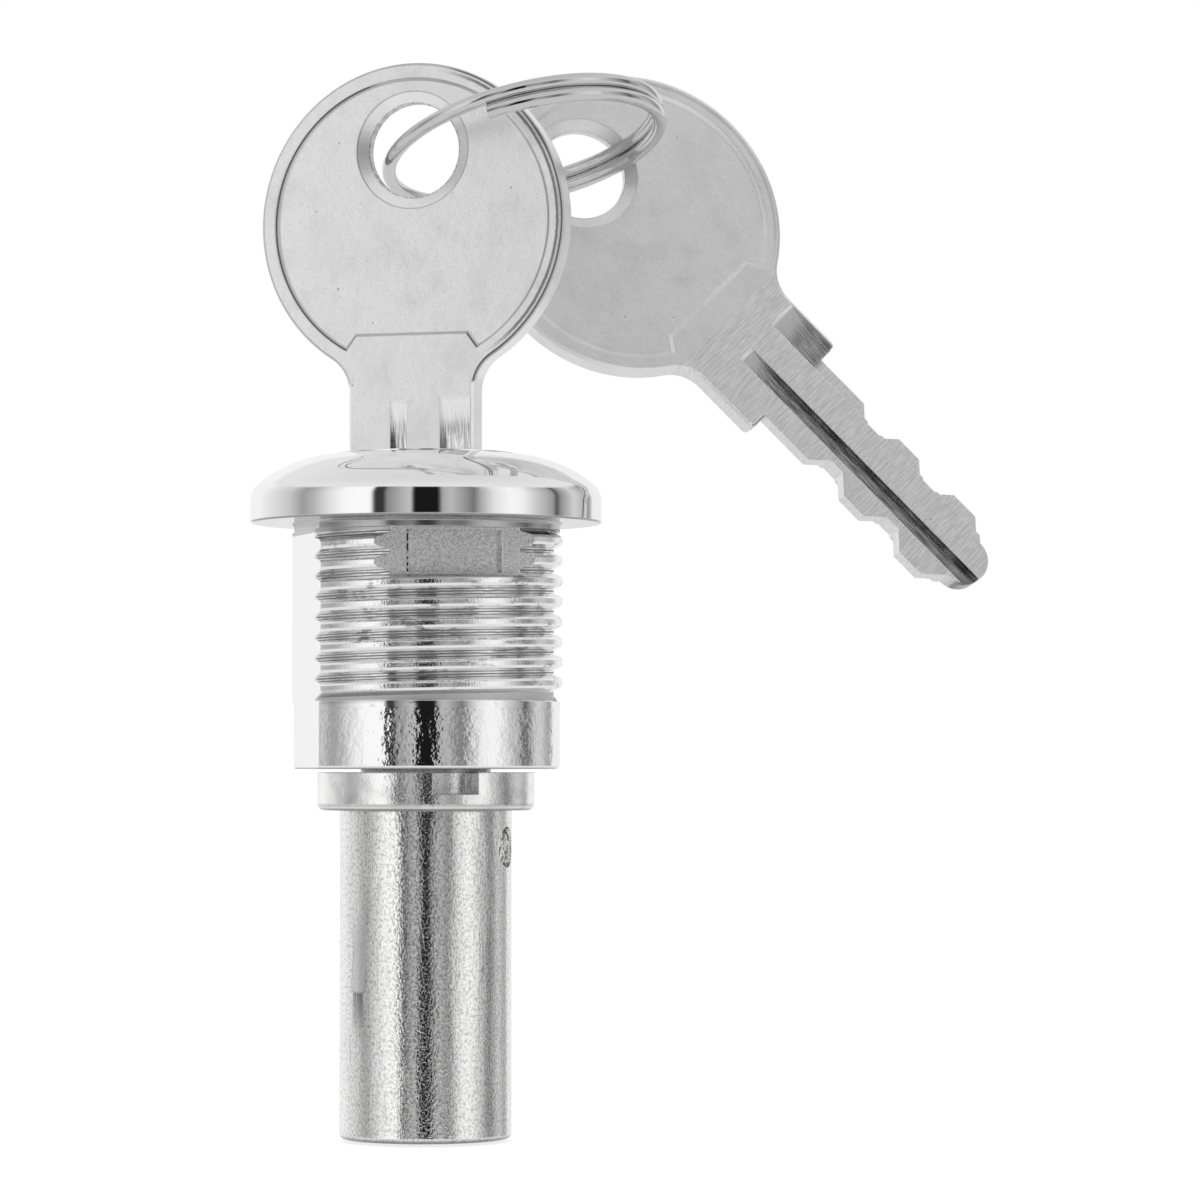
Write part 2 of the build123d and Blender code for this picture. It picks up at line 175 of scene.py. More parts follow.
# %% Paint the studio on the world
def ramp_of(tree, value, stops):
    """Grey levels along a value, as a colour ramp."""
    made = add(tree, "ShaderNodeValToRGB")
    feed(tree, value, made, 0)
    ramp = made.color_ramp
    while len(ramp.elements) > 1:
        ramp.elements.remove(ramp.elements[-1])
    for number, (spot, level) in enumerate(stops):
        stop = ramp.elements[0] if number == 0 else ramp.elements.new(spot)
        stop.position = spot
        stop.color = grey(level)
    return made.outputs[0]


def stepped(tree, value, low, blur):
    """A smooth step from 0 to 1 that starts at a value and is as wide as the blur."""
    made = add(tree, "ShaderNodeMapRange", interpolation_type="SMOOTHSTEP")
    feed(tree, value, made, "Value")
    put(made, From_Min=low, From_Max=low + blur)
    return made.outputs[0]


def over(tree, factor, below, above):
    """One grey laid over another by a factor."""
    made = add(tree, "ShaderNodeMix", data_type="RGBA")
    for socket, value in (("Factor", factor), ("A", below), ("B", above)):
        if isinstance(value, (int, float)):
            made.inputs[socket].default_value = grey(value)
        else:
            feed(tree, value, made, socket)
    return made.outputs["Result"]


def mixed(tree, factor, first, second):
    """Two shaders mixed by a factor."""
    made = add(tree, "ShaderNodeMixShader")
    for socket, value in enumerate((factor, first, second)):
        feed(tree, value, made, socket)
    return made


def seen_directly(tree):
    """1 for rays that come from the camera, straight or through glass."""
    rays = add(tree, "ShaderNodeLightPath")
    return sums(tree, "MAXIMUM", rays.outputs["Is Camera Ray"], rays.outputs["Is Transmission Ray"])


def paint_studio():
    """The world: plain white behind the object, and the studio for the metal to mirror."""
    world = bpy.data.worlds.new("studio")
    world.use_nodes = True
    tree = world.node_tree
    tree.nodes.clear()
    direction = add(tree, "ShaderNodeTexCoord").outputs["Generated"]
    angle = sums(tree, "ARCTAN2", dot(tree, direction, right), dot(tree, direction, -ahead))
    place = sums(tree, "MULTIPLY_ADD", angle, 0.5 / math.pi, 0.5)
    walls = ramp_of(tree, place, [((degrees + 180) / 360, level) for degrees, level in STUDIO_STRIPS])
    split = add(tree, "ShaderNodeSeparateXYZ")
    feed(tree, direction, split, 0)
    up = split.outputs["Z"]
    ceiling = ramp_of(tree, up, CEILING_RINGS)
    studio = over(tree, stepped(tree, up, WALL_FOOT, WALL_FOOT_BLUR), TABLE_LEVEL, walls)
    studio = over(tree, stepped(tree, up, WALL_TOP, WALL_TOP_BLUR), studio, ceiling)
    lit = add(tree, "ShaderNodeBackground")
    feed(tree, studio, lit, "Color")
    plain = put(add(tree, "ShaderNodeBackground"), Color=grey(1), Strength=1.0)
    both = mixed(tree, seen_directly(tree), lit, plain)
    feed(tree, both, add(tree, "ShaderNodeOutputWorld"), "Surface")
    return world


bpy.context.scene.world = paint_studio()
bpy.context.scene.view_settings.view_transform = "Standard"
print("world:", bpy.context.scene.world.name)

# %% [markdown]
# ## The floor
# The object stands on a white sheet. A plain diffuse floor would look grey against the white
# surround, so part of its whiteness is its own: what the eye sees of it is a diffuse part that
# carries the soft shadow, and a plain white part added to it. Mirrored rays pass through the sheet,
# because the studio above is painted with a white table of its own.

# %% Lay the floor
FLOOR_HEIGHT = cad_low.z - 0.0002
FLOOR_REACH = 1.5
SHEET_LEVEL = 0.9
SHADOW_LEVEL = 0.5
OWN_WHITE = 0.75


def white_sheet():
    """A floor that looks white and still keeps a soft shadow."""
    pale = bpy.data.materials.new("white_sheet")
    pale.use_nodes = True
    tree = pale.node_tree
    tree.nodes.clear()
    plain = put(add(tree, "ShaderNodeBsdfDiffuse"), Color=grey(SHEET_LEVEL))
    shaded = put(add(tree, "ShaderNodeBsdfDiffuse"), Color=grey(SHADOW_LEVEL))
    white = put(add(tree, "ShaderNodeEmission"), Color=grey(1), Strength=OWN_WHITE)
    bright = add(tree, "ShaderNodeAddShader")
    feed(tree, shaded, bright, 0)
    feed(tree, white, bright, 1)
    both = mixed(tree, seen_directly(tree), plain, bright)
    mirrored = add(tree, "ShaderNodeLightPath").outputs["Is Glossy Ray"]
    passed = mixed(tree, mirrored, both, add(tree, "ShaderNodeBsdfTransparent"))
    feed(tree, passed, add(tree, "ShaderNodeOutputMaterial"), "Surface")
    return pale


def lay_floor():
    """One large square under the end of the tube."""
    mesh = bpy.data.meshes.new("floor")
    near, far = -FLOOR_REACH, FLOOR_REACH
    corners = [(near, near), (far, near), (far, far), (near, far)]
    mesh.from_pydata([(x, y, FLOOR_HEIGHT) for x, y in corners], [], [(0, 1, 2, 3)])
    floor = bpy.data.objects.new("floor", mesh)
    bpy.context.collection.objects.link(floor)
    mesh.materials.append(white_sheet())


lay_floor()
print("floor at mm:", round(1000 * FLOOR_HEIGHT, 2))

# %% [markdown]
# ## Tools for metal surfaces
# Every finish below starts from the same bench: a metal shader, the place on the part in millimetres,
# and softened corners, because no plated edge is truly sharp. Noise stands for the grain of casting
# and plating. A bump node turns it into small slopes, and slopes are what break up a reflection.
# A mask is a number from 0 to 1 that says where on the part something happens. Masks are multiplied
# to narrow them down, and the strongest of several is taken to join them.


# %% A bench for metal finishes
class Bench:
    """A material under construction, with the usual steps of a metal finish."""

    def __init__(self, name, corner=0.00006):
        self.material = bpy.data.materials.new(name)
        self.material.use_nodes = True
        self.tree = self.material.node_tree
        self.shader = self.tree.nodes["Principled BSDF"]
        put(self.shader, Metallic=1.0)
        self.coordinates = add(self.tree, "ShaderNodeTexCoord")
        millimetres = add(self.tree, "ShaderNodeVectorMath", operation="SCALE")
        put(millimetres, Scale=1000)
        feed(self.tree, self.coordinates.outputs["Object"], millimetres, 0)
        self.place = millimetres.outputs[0]
        softened = put(add(self.tree, "ShaderNodeBevel", samples=6), Radius=corner)
        self.normal = softened.outputs[0]

    def axes(self, place=None):
        """The three coordinates of the place, in millimetres."""
        split = add(self.tree, "ShaderNodeSeparateXYZ")
        feed(self.tree, self.place if place is None else place, split, 0)
        return split.outputs

    def stretched(self, x, y, z):
        """The place with its coordinates scaled, to draw grain out in one direction."""
        made = add(self.tree, "ShaderNodeVectorMath", operation="MULTIPLY")
        feed(self.tree, self.place, made, 0)
        made.inputs[1].default_value = (x, y, z)
        return made.outputs[0]

    def joined(self, x, y, z):
        """A place put together from three coordinates."""
        made = add(self.tree, "ShaderNodeCombineXYZ")
        for socket, value in enumerate((x, y, z)):
            if isinstance(value, (int, float)):
                made.inputs[socket].default_value = value
            else:
                feed(self.tree, value, made, socket)
        return made.outputs[0]

    def noise(self, size, place=None, detail=2.0, rough=0.5, twist=0.0):
        """Soft noise from 0 to 1 whose lumps are about the given size in millimetres."""
        made = add(self.tree, "ShaderNodeTexNoise")
        put(made, Scale=1 / size, Detail=detail, Roughness=rough, Distortion=twist)
        feed(self.tree, self.place if place is None else place, made, "Vector")
        return made.outputs[0]

    def math(self, operation, *values):
        """One step of arithmetic in this material."""
        return sums(self.tree, operation, *values)

    def times(self, first, *others):
        """Numbers or sockets multiplied together."""
        for other in others:
            first = self.math("MULTIPLY", first, other)
        return first

    def minus(self, first, second):
        """One number or socket less another."""
        return self.math("SUBTRACT", first, second)

    def without(self, value, *masks):
        """A mask with other masks cut out of it."""
        for mask in masks:
            value = self.times(value, self.minus(1.0, mask))
        return value

    def strongest(self, *marks):
        """The strongest of several marks, each a mask and its strength."""
        made = None
        for mask, strength in marks:
            scaled = self.times(mask, strength)
            made = scaled if made is None else self.math("MAXIMUM", made, scaled)
        return made

    def between(self, value, low, high, at_low=0.0, at_high=1.0):
        """A value's place between two limits, smoothly, from one level to another."""
        made = add(self.tree, "ShaderNodeMapRange", interpolation_type="SMOOTHSTEP")
        feed(self.tree, value, made, "Value")
        put(made, From_Min=low, From_Max=high, To_Min=at_low, To_Max=at_high)
        return made.outputs[0]

    def below(self, value, low, high):
        """1 under the lower limit, falling smoothly to 0 at the upper."""
        return self.between(value, low, high, 1.0, 0.0)

    def within(self, value, low, high, edge=0.02):
        """1 where a value lies between two limits, and 0 outside."""
        rises = self.between(value, low - edge, low + edge)
        return self.times(rises, self.below(value, high - edge, high + edge))

    def distance(self, first, second):
        """How far a place is from the middle, from its two coordinates."""
        squares = self.math("ADD", self.math("POWER", first, 2), self.math("POWER", second, 2))
        return self.math("SQRT", squares)

    def bump(self, height, depth):
        """Lays a height over the surface as slopes. The depth is in millimetres."""
        made = put(add(self.tree, "ShaderNodeBump"), Strength=1.0, Distance=depth / 1000)
        feed(self.tree, height, made, "Height")
        feed(self.tree, self.normal, made, "Normal")
        self.normal = made.outputs[0]

    def blend(self, factor, first, second):
        """A colour, grey level or socket blended by a factor."""
        made = add(self.tree, "ShaderNodeMix", data_type="RGBA")
        feed(self.tree, factor, made, "Factor")
        for socket, value in (("A", first), ("B", second)):
            if isinstance(value, bpy.types.NodeSocket):
                feed(self.tree, value, made, socket)
            elif isinstance(value, (int, float)):
                made.inputs[socket].default_value = grey(value)
            else:
                made.inputs[socket].default_value = (*value, 1)
        return made.outputs["Result"]

    def marked(self, colour, mask, strength, level):
        """A colour with a grey mark on it, as strong as given."""
        return self.blend(self.times(mask, strength), colour, level)

    def finish(self, colour, roughness):
        """Wires colour, roughness and slopes into the shader."""
        if isinstance(colour, bpy.types.NodeSocket):
            feed(self.tree, colour, self.shader, "Base Color")
        else:
            put(self.shader, Base_Color=(*colour, 1))
        if isinstance(roughness, bpy.types.NodeSocket):
            feed(self.tree, roughness, self.shader, "Roughness")
        else:
            put(self.shader, Roughness=roughness)
        feed(self.tree, self.normal, self.shader, "Normal")
        return self.material


print("bench ready")

# %% [markdown]
# ## Where things are on the housing
# The housing is one zinc die casting with a bright chrome plate. One material serves the whole of it,
# so it needs masks that say where the neck, the thread, the recess and the plain end are. They go by
# height, by distance from the axis and by which way the surface faces. The thread is a helix, so its
# root and flanks are found from a phase: how far the height has climbed, less how far round it is.

# %% Masks for the housing
NECK_END = -0.65
THREAD_END = -13.75
THREAD_PITCH = 1.5
THREAD_START = -13.2
ROOT_PHASE = (0.455, 0.545)
UPPER_FLANK_PHASE = (0.24, 0.44)
LAST_GROOVE = (-13.15, -12.5)
CREST = 9.9
FLAT_X = -9.1
RECESS_HIGH = -0.6
RECESS_LOW = -4.15
RECESS_HALF = 6.2
RECESS_NEAR = -8.13
RECESS_DEEP = -7.70


def recess_mask(bench, x, y, z):
    """The flat recess under the flange, on its surfaces that face the front."""
    facing = bench.axes(bench.coordinates.outputs["Normal"])[1]
    return bench.times(
        bench.within(z, RECESS_LOW, RECESS_HIGH), bench.within(x, -RECESS_HALF, RECESS_HALF),
        bench.within(y, RECESS_NEAR, RECESS_DEEP), bench.below(facing, -0.995, -0.98),
    )


def thread_masks(bench, x, y, z, threaded, run):
    """Masks: painted shade at the bottom of the thread's groove and on each ridge's upper side, the last
    groove, and dirt patches.
    """
    turn = bench.math("DIVIDE", bench.math("ARCTAN2", y, x), 2 * math.pi)
    climb = bench.math("DIVIDE", bench.minus(z, THREAD_START), THREAD_PITCH)
    phase = bench.math("FRACT", bench.math("ADD", bench.minus(climb, turn), 2.0))
    round_part = bench.between(x, FLAT_X + 0.05, FLAT_X + 0.15)
    ragged = bench.math("MULTIPLY_ADD", bench.noise(0.5, place=run, detail=3.0), 0.10, -0.05)
    wound = bench.times(threaded, round_part)
    root = bench.times(bench.within(bench.math("ADD", phase, ragged), *ROOT_PHASE), wound)
    flank = bench.times(bench.within(phase, *UPPER_FLANK_PHASE, 0.06), wound)
    last = bench.times(bench.within(z, *LAST_GROOVE), round_part)
    dirt = bench.noise(1.1, place=run, detail=3.0, rough=0.65)
    patch = bench.times(bench.between(dirt, 0.56, 0.68), wound)
    return root, flank, last, patch


print("thread pitch in mm:", THREAD_PITCH)

# %% [markdown]
# ## The chromed casting
# The head is polished before plating and mirrors cleanly. The barrel isn't: its plain end shows the
# orange peel of the casting, the thread is pitted with patches of dirt, the neck is matt, and the
# recess that keeps the barrel from turning is matt and speckled. Painted shade darkens the bottom of
# the thread's groove, the upper side of each ridge and the neck under the flange, and draws dark
# lines at the flange's foot, at the barrel's end and, broken, at the recess's left wall. A painted
# highlight draws a white line at the recess's right wall.

# %% The chrome of the housing and plug
CHROME = (0.95, 0.95, 0.955)
ORANGE_PEEL = ((0.30, 1.5, 0.022), (0.9, 1.0, 0.03))
BARREL_END = -18.15
RECESS_WALL = 3.5
RECESS_EDGE = 0.25
DIRT_AND_SHADE_LEVEL = 0.12
PLUG_FACE = (4.9, 5.1)


def lined_recess(bench, colour, recess, x, z):
    """Painted shade as a broken dark line at the recess's left wall, and a painted highlight as a white
    line at its right wall.
    """
    hollow = bench.times(bench.within(z, RECESS_LOW + RECESS_EDGE, RECESS_HIGH - RECESS_EDGE), recess)
    dashes = bench.between(bench.noise(0.28, detail=1.0), 0.42, 0.50)
    # Painted shade: a broken dark line at the left wall.
    shade_line = bench.times(bench.within(x, -RECESS_WALL - 0.14, -RECESS_WALL), hollow)
    colour = bench.marked(colour, shade_line, dashes, 0.05)
    # Painted highlight: a white, non-metal line at the right wall.
    highlight_line = bench.times(bench.within(x, RECESS_WALL - 0.04, RECESS_WALL + 0.12), hollow)
    feed(bench.tree, bench.minus(1.0, highlight_line), bench.shader, "Metallic")
    return bench.blend(highlight_line, colour, 1.0)


def chromed_casting():
    """Polished head, pitted thread, matt recess and a plain end with orange peel."""
    bench = Bench("chromed_casting", corner=0.0001)
    x, y, z = bench.axes()
    neck = bench.within(z, NECK_END - 0.25, -0.01)
    plain_end = bench.below(z, THREAD_END - 0.1, THREAD_END + 0.1)
    threaded = bench.minus(bench.below(z, -0.04, 0.0), plain_end)
    recess = recess_mask(bench, x, y, z)
    for size, detail, depth in ORANGE_PEEL:
        bench.bump(bench.times(bench.noise(size, detail=detail), plain_end), depth)
    run = bench.stretched(0.45, 0.45, 1.3)
    bench.bump(bench.times(bench.noise(0.20, place=run, detail=2.5, rough=0.6), threaded), 0.0035)
    crest = bench.times(bench.between(bench.distance(x, y), CREST, CREST + 0.1), threaded)
    bench.bump(bench.times(bench.noise(0.15, detail=2.0), crest), 0.02)
    speckle = bench.noise(0.14, detail=2.5, rough=0.7)
    bench.bump(bench.times(speckle, recess), 0.03)
    root, flank, last, patch = thread_masks(bench, x, y, z, threaded, run)
    # Painted shade darkens the neck under the flange, the bottom of the thread's groove and the upper side
    # of each ridge; the patches are dirt.
    dirt_and_shade = bench.strongest((neck, 0.55), (root, 0.75), (flank, 0.22), (patch, 0.6))
    colour = bench.blend(dirt_and_shade, CHROME, DIRT_AND_SHADE_LEVEL)
    colour = bench.blend(last, colour, 0.72)
    colour = bench.blend(recess, colour, bench.blend(bench.between(speckle, 0.3, 0.7), 0.50, 0.94))
    colour = lined_recess(bench, colour, recess, x, z)
    # Painted shade: dark lines at the barrel's end and at the foot of the flange.
    colour = bench.marked(colour, bench.below(z, BARREL_END + 0.02, BARREL_END + 0.16), 0.8, 0.1)
    colour = bench.marked(colour, bench.within(z, -0.02, 0.13), 0.7, 0.1)
    rough = bench.strongest(
        (bench.between(threaded, 0.0, 1.0, 0.02, 0.07), 1.0), (neck, 0.2), (recess, 0.42),
        (root, 0.45), (last, 0.55), (plain_end, 0.05),
    )
    return bench.finish(colour, rough)


def chromed_plug():
    """The plug's polished face and its bored and milled inside."""
    bench = Bench("chromed_plug")
    inside = bench.below(bench.axes()[2], *PLUG_FACE)
    bench.bump(bench.times(bench.noise(0.2, detail=3.0), inside), 0.02)
    colour = bench.blend(inside, CHROME, 0.5)
    return bench.finish(colour, bench.between(inside, 0.0, 1.0, 0.03, 0.25))


casting = chromed_casting()
plug_chrome = chromed_plug()
print("made:", casting.name, plug_chrome.name)

# %% [markdown]
# ## The collar and the pin
# The collar is plated but not polished, so it has a fine satin grain and pale stains. Painted shade
# draws a dark line where its foot rounds off, and a fainter one on the rounding above it. The pin
# through the tube was hammered over, and its end is crumpled.

# %% Collar and pin finishes
NICKEL = (0.98, 0.98, 0.975)
COLLAR_FOOT = -21.2


def satin_nickel():
    """Bright plate with a fine satin grain, for the collar."""
    bench = Bench("satin_nickel", corner=0.00012)
    grain = bench.noise(0.17, detail=2.5, rough=0.6)
    bench.bump(grain, 0.021)
    bench.bump(bench.noise(0.9, detail=1.0), 0.02)
    stain = bench.noise(1.6, detail=3.0)
    colour = bench.blend(bench.between(stain, 0.45, 0.75), NICKEL, 0.80)
    colour = bench.blend(bench.between(grain, 0.62, 0.75), colour, 0.45)
    z = bench.axes()[2]
    # Painted shade: a dark line where the foot rounds off, and a fainter one on the rounding above.
    colour = bench.marked(colour, bench.below(z, COLLAR_FOOT + 0.08, COLLAR_FOOT + 0.26), 0.8, 0.08)
    fillet = bench.within(z, COLLAR_FOOT + 0.26, COLLAR_FOOT + 0.5, 0.08)
    colour = bench.marked(colour, fillet, 0.35, 0.1)
    return bench.finish(colour, bench.math("MULTIPLY_ADD", stain, 0.06, 0.05))


def hammered_nickel():
    """The crumpled end of the pin."""
    bench = Bench("hammered_nickel", corner=0.0001)
    lumps = bench.noise(0.8, detail=1.0, twist=1.5)
    bench.bump(lumps, 0.4)
    bench.bump(bench.noise(0.25, detail=2.0), 0.03)
    colour = bench.blend(bench.between(lumps, 0.5, 0.56), NICKEL, 0.25)
    return bench.finish(colour, 0.1)


collar_plate = satin_nickel()
pin_plate = hammered_nickel()
print("made:", collar_plate.name, pin_plate.name)

# %% [markdown]
# ## The drive tube
# The tube was plated over rough drawn steel: its grain is coarse and sparkles, and it is slightly
# wavy along its length. Handling has left long scratches, and one scraped streak on the side that
# faces left. Marks on a tube are easiest to draw on its unrolled sheet, so the angle round the tube
# is turned into millimetres first.

# %% The tube's finish
TUBE_RADIUS = 6.35
TUBE_FOOT = -45.35
SCRAPE_TURN = -2.71
SCRAPE_HALF = 0.75
SCRAPE_TOP = -27.0
SCRAPE_END = -34.6
STREAK_END = -38.7


def unrolled(bench, around, z, shrink, shift):
    """The tube's sheet laid flat, with its length shrunk so that marks draw out along the tube."""
    return bench.joined(around, bench.times(z, shrink), shift)


def scrape_masks(bench, around, z, lines):
    """The scraped patch, its outline, and the dark streak that runs on below it."""
    torn = bench.noise(0.7, place=unrolled(bench, around, z, 0.15, 9.0), detail=3.0)
    off = bench.minus(around, SCRAPE_TURN * TUBE_RADIUS)
    off = bench.math("ABSOLUTE", bench.math("ADD", off, bench.math("MULTIPLY_ADD", torn, 1.2, -0.6)))
    down = bench.math("MAXIMUM", bench.minus(SCRAPE_END + SCRAPE_HALF, z), 0.0)
    from_end = bench.distance(off, down)
    upper = bench.below(z, SCRAPE_TOP - 4.5, SCRAPE_TOP - 1.0)
    scrape = bench.times(bench.below(from_end, SCRAPE_HALF, SCRAPE_HALF + 0.06), upper)
    outline = bench.times(bench.within(from_end, SCRAPE_HALF, SCRAPE_HALF + 0.10, 0.05), upper)
    streak = bench.times(
        bench.below(off, 0.35, 0.70), bench.between(z, STREAK_END, SCRAPE_END + 0.3),
        bench.below(z, SCRAPE_END, SCRAPE_END + 0.3), bench.between(lines, 0.20, 0.50),
    )
    return scrape, outline, streak


def coarse_nickel():
    """Coarse sparkling plate with upright waves and scratches, for the tube."""
    bench = Bench("coarse_nickel", corner=0.00012)
    x, y, z = bench.axes()
    around = bench.times(bench.math("ARCTAN2", y, x), TUBE_RADIUS)
    sheet = unrolled(bench, around, z, 0.8, 0.0)
    grain = bench.noise(0.20, place=sheet, detail=2.0, rough=0.6, twist=0.4)
    bench.bump(grain, 0.021)
    waves = unrolled(bench, around, z, 0.10, 3.0)
    bench.bump(bench.noise(1.3, place=waves, detail=1.0), 0.035)
    lines = bench.noise(0.14, place=unrolled(bench, around, z, 0.05, 7.0), detail=2.0, rough=0.6)
    streaked_part = bench.between(bench.noise(2.6, place=unrolled(bench, around, z, 0.3, 1.0)), 0.52, 0.62)
    scrape, outline, streak = scrape_masks(bench, around, z, lines)
    bench.bump(bench.times(lines, bench.math("MAXIMUM", streaked_part, scrape)), 0.018)
    grime = bench.noise(0.5, place=waves, detail=4.0, rough=0.7)
    colour = bench.blend(bench.between(grime, 0.55, 0.8), NICKEL, 0.6)
    colour = bench.blend(bench.between(grain, 0.42, 0.70, 0.0, 0.6), colour, 0.35)
    # Painted shade darkens the tube's foot; the scrape, its outline and the streak are marks of handling.
    foot = bench.below(z, TUBE_FOOT + 0.1, TUBE_FOOT + 0.4)
    marks = ((scrape, 0.8, 0.72), (outline, 0.5, 0.1), (streak, 0.8, 0.15), (foot, 0.75, 0.08))
    for mask, strength, level in marks:
        colour = bench.marked(colour, mask, strength, level)
    return bench.finish(colour, bench.math("MULTIPLY_ADD", grime, 0.08, 0.05))


tube_plate = coarse_nickel()
print("made:", tube_plate.name)

# %% [markdown]
# ## A bench for the keys
# One recipe makes both keys' finishes. It needs to know where each key lies, because one stands and
# the other hangs at an angle. So a key's bench measures from that key's own shoulder: u across the
# key, v along it towards the bow, and w from the middle of its thickness. Its lean says how far the
# surface turns towards the key's right edge.

# %% Places and masks on a key
STEP_FOOT = 0.83
STEP_TOP = 1.06
STEP_START = 5.6
RUN_OUT = 5.0
RABBET_INNER = 2.3
SIDE_WALLS = 1.7
BOW_MIDDLE = 17.7
HOLE_RISE = 23.1
HOLE_LIP = (3.45, 3.60)
HOLE_LINE = (4.32, 4.42)
ROLLED_EDGE = (11.28, 11.50)
NECK_JOIN = 7.5


class KeyBench(Bench):
    """A bench that measures from a key's own shoulder."""

    def __init__(self, name, start, across, along):
        super().__init__(name, corner=0.00008)
        off = add(self.tree, "ShaderNodeVectorMath", operation="SUBTRACT")
        feed(self.tree, self.place, off, 0)
        off.inputs[1].default_value = start
        self.u = dot(self.tree, off, across)
        self.v = dot(self.tree, off, along)
        self.w = self.math("ABSOLUTE", dot(self.tree, off, across.cross(along)))
        self.own = self.joined(self.u, self.v, self.w)
        self.lean = dot(self.tree, self.coordinates.outputs["Normal"], across)

    def milled(self):
        """The milled groove and run-out, without the blade's low edges and side walls."""
        from_middle = self.math("ABSOLUTE", self.u)
        cut = self.times(self.below(self.w, 1.0, STEP_TOP), self.below(self.v, RUN_OUT, RUN_OUT + 0.2))
        edge_cut = self.between(from_middle, RABBET_INNER - 0.15, RABBET_INNER)
        low_cut = self.times(edge_cut, self.below(self.v, -0.6, 0.4))
        steep = self.between(self.math("ABSOLUTE", self.lean), 0.4, 0.6)
        side_wall = self.times(steep, self.between(from_middle, SIDE_WALLS, SIDE_WALLS + 0.2))
        return self.without(cut, low_cut, side_wall)

    def coined_step(self):
        """The slope round the coined bow, and the painted shade on its parts."""
        bow = self.between(self.v, STEP_START, STEP_START + 0.3)
        step = self.times(self.within(self.w, STEP_FOOT, STEP_TOP), bow)
        to_right = self.between(self.lean, 0.08, 0.25)
        to_left = self.below(self.lean, -0.25, -0.08)
        dark_side = self.times(step, to_right, self.between(self.w, 0.90, 0.97))
        upper = self.times(step, to_left, self.between(self.w, 0.93, 1.0))
        return step, self.strongest((step, 0.4), (dark_side, 0.9), (upper, 0.5))

    def shaded_edge_lines(self):
        """Painted shade as dark lines round the hole and along the rolled right edge of the bow."""
        ragged = self.noise(0.35, place=self.own, detail=3.0, rough=0.65)
        from_hole = self.distance(self.u, self.minus(self.v, HOLE_RISE))
        from_middle = self.distance(self.u, self.minus(self.v, BOW_MIDDLE))
        lip = self.times(self.within(from_hole, *HOLE_LIP), self.between(ragged, 0.30, 0.62))
        hole_line = self.within(from_hole, *HOLE_LINE)
        wavy = self.math("MULTIPLY_ADD", ragged, 0.12, self.minus(from_middle, 0.06))
        beyond = self.between(from_middle, ROLLED_EDGE[1], ROLLED_EDGE[1] + 0.1)
        rolled_line = self.strongest((self.within(wavy, *ROLLED_EDGE, 0.06), 1.0), (beyond, 0.3))
        right_of_bow = self.between(self.math("DIVIDE", self.u, from_middle), 0.15, 0.5)
        above_neck = self.between(self.v, NECK_JOIN, NECK_JOIN + 2.5)
        rolled_line = self.times(rolled_line, self.between(self.w, 1.0, 1.08), right_of_bow, above_neck)
        return self.strongest((lip, 0.5), (hole_line, 0.4), (rolled_line, 0.75))


print("hole above the shoulder in mm:", HOLE_RISE)

# %% [markdown]
# ## The satin of the keys
# A key is stamped out of sheet, coined in the bow and then milled along the blade. The coined bow is
# an even satin with specks and small nicks. The sloped step round it is painted with shade: one side
# of the step is painted dark, and the other has a painted dark edge over a paler foot, and on the
# hanging key the step also gets a painted highlight. Painted shade draws dark lines round the hole
# and along the bow's rolled right edge too. The blade's flat faces carry fine marks of the rolling
# across them, and the milled grooves have streaks along their length, darker towards the lower end.
# The two keys mirror different parts of the studio, so each has its own levels of painted light and
# shade: the hanging key's bow and milled grooves are painted darker.

# %% The recipe for a key's finish
NICK_SPACING = 2.0


